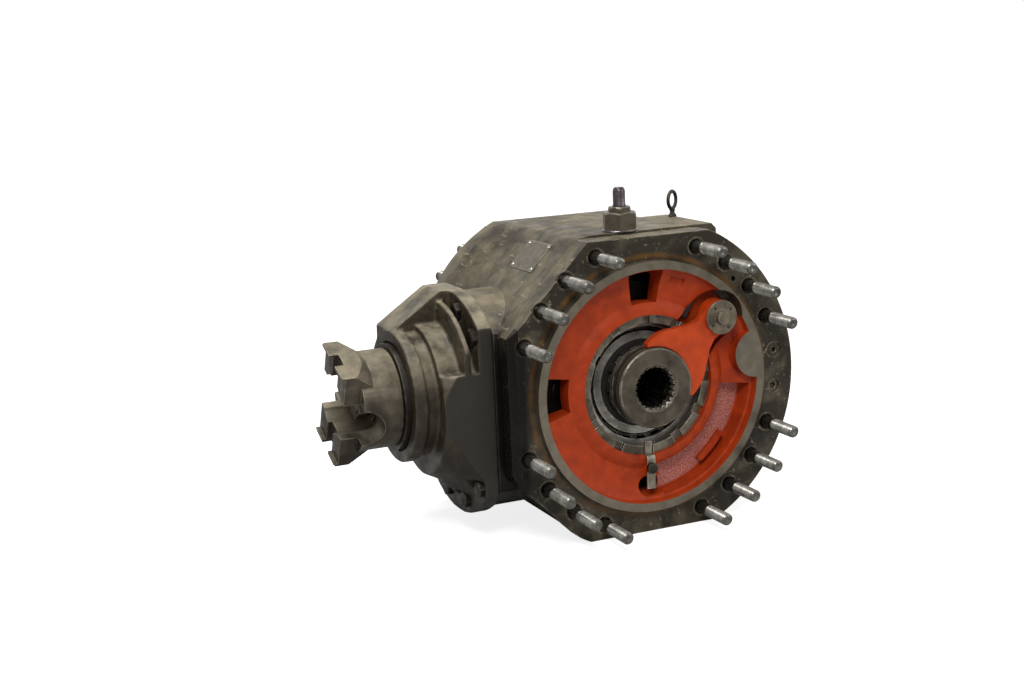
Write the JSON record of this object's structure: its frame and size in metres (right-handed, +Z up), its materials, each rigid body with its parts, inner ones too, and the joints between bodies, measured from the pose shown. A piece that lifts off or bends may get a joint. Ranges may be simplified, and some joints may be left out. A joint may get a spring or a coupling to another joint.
{
  "type": "axle differential",
  "caption": "Bevel-gear axle differential with a dog-clutch lock, studded axle flanges and a wing-bearing drive yoke.",
  "frame": {"origin": "centre of the near axle flange face, on the axle axis", "axes": "Y is the axle axis and -Y leaves the near flange, -X points along the pinion to the drive yoke, +Z is up"},
  "size_m": [0.6802, 0.465, 0.5048],
  "materials": {
    "cast_housing": "oily dark casting",
    "cast_cage": "oily dark casting",
    "red_paint": "satin red paint",
    "bright_steel": "machined",
    "worn_steel": "oily machined",
    "gear_steel": "oiled",
    "dark_steel": "blackened",
    "dark_iron": "oily casting",
    "yoke_steel": "oily forging",
    "bronze": "plain",
    "seal_rubber": "matt"
  },
  "bodies": {
    "axle_housing": {"housing": "cast_housing", "near_carrier": "red_paint", "far_carrier": "red_paint", "near_studs": "bright_steel", "far_studs": "bright_steel", "near_nut": "worn_steel", "far_nut": "worn_steel", "near_cup": "bright_steel", "far_cup": "bright_steel", "lock_tab": "worn_steel", "lock_bolt": "worn_steel", "stop_bar": "dark_steel", "nameplate": "worn_steel", "plate_rivets": "bright_steel", "breather": "dark_steel", "lift_ring": "worn_steel", "flange_dowel": "worn_steel", "flange_screw": "dark_steel", "drain_plug": "dark_steel", "fill_plug": "dark_steel", "pinion_cage": "cast_cage", "cage_bolts": "dark_steel", "cage_shim": "bright_steel", "head_cup": "bright_steel", "nose_cup": "bright_steel", "oil_seal": "seal_rubber"},
    "differential_case": {"case_near": "dark_iron", "case_far": "dark_iron", "ring_gear": "gear_steel", "ring_bolts": "dark_steel", "case_bolts": "dark_steel", "spider_cross": "gear_steel", "near_cone": "bright_steel", "far_cone": "bright_steel", "near_rollers": "worn_steel", "far_rollers": "worn_steel", "side_washers": "bronze", "spider_washers": "bronze"},
    "near_side_gear": {"side_gear_near": "gear_steel"},
    "far_side_gear": {"side_gear_far": "gear_steel"},
    "right_spider": {"spider_right": "gear_steel"},
    "left_spider": {"spider_left": "gear_steel"},
    "top_spider": {"spider_top": "gear_steel"},
    "bottom_spider": {"spider_bottom": "gear_steel"},
    "lock_sleeve": {"dog_sleeve": "worn_steel"},
    "lock_fork": {"shift_fork": "red_paint", "fork_rod": "worn_steel", "fork_bolt": "worn_steel"},
    "drive_pinion": {"pinion_shaft": "gear_steel", "head_cone": "bright_steel", "nose_cone": "bright_steel", "head_rollers": "worn_steel", "nose_rollers": "worn_steel", "bearing_spacer": "worn_steel", "yoke": "yoke_steel", "dust_shield": "dark_steel", "yoke_nut": "dark_steel", "yoke_washer": "bright_steel"}
  },
  "joints": [
    {"name": "case_spin", "type": "hinge", "parent": "axle_housing", "child": "differential_case", "pos_m": [0, 0.1575, 0], "axis": [0, 1, 0], "continuous": true},
    {"name": "pinion_spin", "type": "hinge", "parent": "axle_housing", "child": "drive_pinion", "pos_m": [-0.34, 0.1575, 0], "axis": [1, 0, 0], "continuous": true},
    {"name": "near_gear_spin", "type": "hinge", "parent": "differential_case", "child": "near_side_gear", "pos_m": [0, 0.1575, 0], "axis": [0, 1, 0], "continuous": true},
    {"name": "far_gear_spin", "type": "hinge", "parent": "differential_case", "child": "far_side_gear", "pos_m": [0, 0.1575, 0], "axis": [0, 1, 0], "continuous": true},
    {"name": "right_spider_spin", "type": "hinge", "parent": "differential_case", "child": "right_spider", "pos_m": [0.06, 0.1575, 0], "axis": [1, 0, 0], "continuous": true},
    {"name": "left_spider_spin", "type": "hinge", "parent": "differential_case", "child": "left_spider", "pos_m": [-0.06, 0.1575, 0], "axis": [1, 0, 0], "continuous": true},
    {"name": "top_spider_spin", "type": "hinge", "parent": "differential_case", "child": "top_spider", "pos_m": [0, 0.1575, 0.06], "axis": [0, 0, 1], "continuous": true},
    {"name": "bottom_spider_spin", "type": "hinge", "parent": "differential_case", "child": "bottom_spider", "pos_m": [0, 0.1575, -0.06], "axis": [0, 0, 1], "continuous": true},
    {"name": "fork_slide", "type": "slide", "parent": "axle_housing", "child": "lock_fork", "axis": [0, 1, 0], "range_m": [0, 0.009]},
    {"name": "sleeve_slide", "type": "slide", "parent": "near_side_gear", "child": "lock_sleeve", "axis": [0, 1, 0], "range_m": [0, 0.009]}
  ],
  "couplings": [
    {"joint": "pinion_spin", "follows": "case_spin", "ratio": -3.0833},
    {"joint": "far_gear_spin", "follows": "near_gear_spin", "ratio": -1},
    {"joint": "right_spider_spin", "follows": "near_gear_spin", "ratio": 1.6},
    {"joint": "left_spider_spin", "follows": "near_gear_spin", "ratio": -1.6},
    {"joint": "top_spider_spin", "follows": "near_gear_spin", "ratio": 1.6},
    {"joint": "bottom_spider_spin", "follows": "near_gear_spin", "ratio": -1.6},
    {"joint": "sleeve_slide", "follows": "fork_slide", "ratio": 1}
  ]
}
